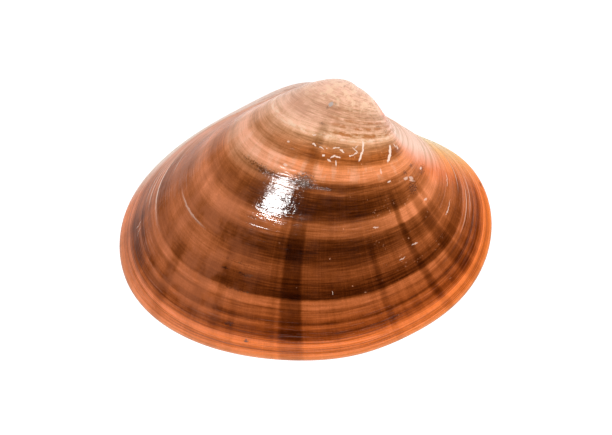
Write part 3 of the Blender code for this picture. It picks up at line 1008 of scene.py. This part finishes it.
streaks = (growth_noise(2.0, 150, 2, 0.55, 6) * 0.80 + growth_noise(5, 330, 1, 0.5, 8) * 0.18
           + growth_noise(60, 40, 2, 0.5, 1) * 0.06 + growth_noise(16, 60, 2, 0.5, 2) * 0.40)
height = streaks + worn_white_and_glints * 0.05 + pitted * 0.03 - blotched * 0.05 + specks * 0.25
dulled = (growth_noise(6, 18, 4, 0.6, 12).rise(0.40, 0.75) * 0.10
          + (1 - placed.rise(0.30, 0.48)) * 0.16 + backward.rise(60, 90) * 0.36)
wire_up(surface, colour, POLISHED + dulled + worn_white_and_glints * 0.4, height, STREAK_DEPTH)
surface.inputs["IOR"].default_value = 1.5
surface.inputs["Specular IOR Level"].default_value = 0.42
valve.data.materials.append(outside_finish)
print("outside finish nodes:", len(start.tree.nodes))

# %% [markdown]
# The rim
#
# The rim shows the shell's thickness, in thin leaves, honey coloured where light passes
# through it near the margin. The growth attribute runs on across the rim, so a ramp from the
# margin to the hollow's edge colours it, and a cloud keeps its limits from being ruled lines.

# %% Finish of the rim and hinge
LEAF_DEPTH, LEAF = 0.08 * MM, (226, 176, 134)
ACROSS_RIM = ((0.00, 222, 122, 62), (0.10, 236, 172, 116), (0.26, 244, 208, 168),
              (0.60, 247, 226, 204), (1.00, 249, 238, 226))


def read_mesh(start, scale):
    """The growth attribute, its size, and clouds in the object's own coordinates."""
    line = start.node("ShaderNodeAttribute", {"attribute_name": "growth"}, output=1)
    return (line, start.node("ShaderNodeSeparateXYZ", inputs={0: line}, output=2),
            start.node("ShaderNodeTexCoord", output=3).noise(scale, 5.0))


rim_finish, surface, start = new_material("rim_and_hinge")
growth_line, size, cloud = read_mesh(start, 260.0)
across = (size - 1) / (RIM_END - 1)
leaves = growth_noise(3, 420, 4, 0.6, 71)
layered = (across + (cloud - 0.5) * 0.16).ramp(seen_stops(ACROSS_RIM))
lined = (leaves.rise(0.48, 0.62) * 0.35).mix(layered, display(*LEAF))
wire_up(surface, lined, 0.28 + cloud * 0.2, leaves + cloud * 0.5, LEAF_DEPTH)
valve.data.materials.append(rim_finish)
print("rim finish nodes:", len(start.tree.nodes))

# %% [markdown]
# The hollow
#
# The hollow is white porcelain with a warm blush, and faint growth lines show through it.
# Muscle scars are glossier and a little darker than the rest, which is how one finds them on
# a real shell. The blush deepens towards the top, and the edge turns honey coloured again.

# %% Finish of the hollow
PORCELAIN_DEPTH = 0.10 * MM
PORCELAIN, PORCELAIN_WHITE = display(243, 227, 213), display(250, 243, 234)
INNER_LEAF, INNER_THREAD, INNER_BLUSH = (236, 210, 190), (232, 202, 182), (246, 206, 186)
INNER_EDGE, SCAR = (242, 200, 158), (218, 192, 176)

hollow_finish, surface, start = new_material("porcelain_hollow")
growth_line, size, cloud = read_mesh(start, 60.0)
marks = start.node("ShaderNodeAttribute", {"attribute_name": "mark"}, output=2)
leaves = growth_noise(2.5, 60, 5, 0.62, 81)
threads = growth_noise(36, 1.4, 3, 0.6, 83)
porcelain = cloud.rise(0.3, 0.7).mix(PORCELAIN, PORCELAIN_WHITE)
for mask, tint in ((leaves.rise(0.46, 0.64) * 0.40, INNER_LEAF),
                   (threads.rise(0.50, 0.66) * size.rise(0.35, 0.9) * 0.30, INNER_THREAD),
                   (1 - size.rise(0.1, 0.75), INNER_BLUSH), (size.rise(0.80, 1.0), INNER_EDGE),
                   (marks * (0.45 + leaves * 0.3), SCAR)):
    porcelain = mask.mix(porcelain, display(*tint))
wire_up(surface, porcelain, 0.38 - marks * 0.20 + cloud * 0.08,
        leaves + threads * 0.3 + cloud * 0.3, PORCELAIN_DEPTH)
valve.data.materials.append(hollow_finish)
print("finishes on the valve:", [m.name for m in valve.data.materials])

# %% [markdown]
# A light table
#
# The shell lies on a bright white table. The table lights the steep sides from below and
# leaves no shadow. Two soft lamps hang nearly straight above. The first lights the shell and
# is left out of its gloss. The second does nothing but shine in it, as the small square
# highlight. The room around stays dim in the gloss, so that the dark bands stay dark.

# %% The table
FLOOR_HALF, TABLE_GREY, TABLE_GLOW = 4.0, 0.45, 0.72

floor_mesh = bpy.data.meshes.new("table")
floor_mesh.from_pydata([(-FLOOR_HALF, -FLOOR_HALF, 0), (FLOOR_HALF, -FLOOR_HALF, 0),
                        (FLOOR_HALF, FLOOR_HALF, 0), (-FLOOR_HALF, FLOOR_HALF, 0)],
                       [], [(0, 1, 2, 3)])
floor = bpy.data.objects.new("table", floor_mesh)
bpy.context.scene.collection.objects.link(floor)
table_finish, surface, start = new_material("white_table")
for name, value in (("Base Color", (TABLE_GREY,) * 3 + (1,)), ("Roughness", 0.6),
                    ("Emission Color", (1, 1, 1, 1)), ("Emission Strength", TABLE_GLOW)):
    surface.inputs[name].default_value = value
below = start.node("ShaderNodeNewGeometry", output=6)
shown = start.node("ShaderNodeMixShader", inputs={0: below, 1: start,
                   2: start.node("ShaderNodeBsdfTransparent")})
start.tree.links.new(shown.socket, start.tree.nodes["Material Output"].inputs["Surface"])
floor.data.materials.append(table_finish)
print("table side, m:", 2 * FLOOR_HALF)

# %% [markdown]
# Lamps and room
#
# A lamp's size sets how soft its shadows are and how large its reflection looks, so the two
# tasks need two lamps. Each is placed by a direction and a distance and faces the shell.

# %% Lamps and room
ROOM_GREY = 0.72


def soft_lamp(name, towards, away, side, power):
    """A square area lamp that faces the origin from a direction."""
    light = bpy.data.lights.new(name, "AREA")
    light.shape, light.size, light.energy = "SQUARE", side, power
    lamp = bpy.data.objects.new(name, light)
    place = away * Vector(towards).normalized()
    lamp.matrix_world = (Matrix.Translation(place)
                         @ place.to_track_quat("Z", "Y").to_matrix().to_4x4())
    bpy.context.scene.collection.objects.link(lamp)
    return lamp


key_lamp = soft_lamp("key_lamp", (0.45, -0.10, 0.9), 1.2, 0.5, 5.5)
key_lamp.visible_glossy = False
gloss_lamp = soft_lamp("gloss_lamp", (-0.100, -0.085, 0.9920), 0.90, 0.16, 7.4)
gloss_lamp.visible_diffuse = False

world = bpy.data.worlds.new("pale_room")
world.use_nodes = True
world.node_tree.nodes["Background"].inputs["Color"].default_value = (ROOM_GREY,) * 3 + (1,)
world.cycles_visibility.glossy = False
bpy.context.scene.world = world
bpy.context.scene.view_settings.view_transform = "Standard"
print("lamps:", [o.name for o in (key_lamp, gloss_lamp)])

# %% [markdown]
# The camera
#
# The photograph looks down on the shell from almost straight above, turned a little to one
# side. The camera is placed by the direction it looks from, its distance and the point it
# looks at, and then rolled about its own line of sight.

# %% Camera
IMAGE_WIDTH, FOCAL_PIXELS, SENSOR = 612, 2169.0, 36.0
AIM = MM * Vector((-0.256, -1.021, 9.0))
AWAY = 450 * MM
SIDEWAYS, UPWARDS, ROLL = np.radians([-5.727, 80.277, -7.193])

back = Vector((np.sin(SIDEWAYS) * np.cos(UPWARDS), -np.cos(SIDEWAYS) * np.cos(UPWARDS),
               np.sin(UPWARDS)))
right = (-back).cross(Vector((0, 0, 1))).normalized()
up = right.cross(-back)
turned_right = np.cos(ROLL) * right - np.sin(ROLL) * up
turned_up = np.sin(ROLL) * right + np.cos(ROLL) * up
camera = bpy.data.cameras.new("camera")
camera.sensor_width, camera.lens = SENSOR, FOCAL_PIXELS * SENSOR / IMAGE_WIDTH
camera.clip_start, camera.clip_end = 0.01, 20
camera_object = bpy.data.objects.new("camera", camera)
turn = Matrix((turned_right, turned_up, back)).transposed().to_4x4()
camera_object.matrix_world = Matrix.Translation(AIM + AWAY * back) @ turn
bpy.context.scene.collection.objects.link(camera_object)
bpy.context.scene.camera = camera_object
print("lens, mm:", round(camera.lens, 1))

# %% [markdown]
# Sizes and finish
#
# The dressed shell has to fill the same box as the solid that it stands for.
